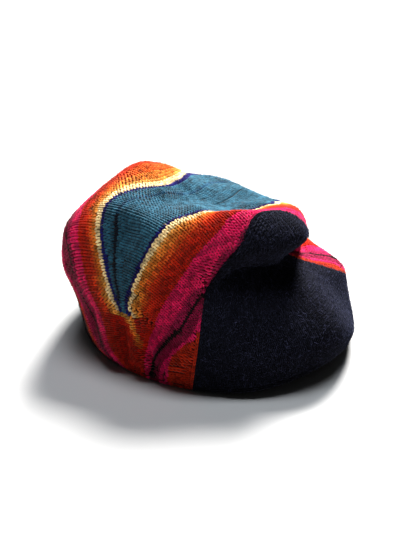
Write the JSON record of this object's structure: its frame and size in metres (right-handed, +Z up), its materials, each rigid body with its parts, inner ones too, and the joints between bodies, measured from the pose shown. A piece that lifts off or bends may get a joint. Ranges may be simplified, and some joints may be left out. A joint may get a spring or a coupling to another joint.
{
  "type": "duckbill cap",
  "caption": "Slack knitted duckbill cap with a striped crown and a dark front panel rolled over a short drooping bill.",
  "frame": {"origin": "under the middle of the bounding box, on the level of the rim the cap rests on", "axes": "+Z up, the bill points along -Y, +X is the wearer's left"},
  "size_m": [0.2, 0.2266, 0.1247],
  "materials": {
    "striped_knit": "soft stockinette knit in stripes of teal, navy, cream, orange, red, pink and maroon",
    "dark_wool": "brushed fine knit, nearly black navy",
    "bill_cloth": "plain matt black cloth over a stiff board"
  },
  "bodies": {
    "root": {"crown": "striped_knit", "front_panel": "dark_wool", "peak": "bill_cloth"}
  },
  "joints": []
}
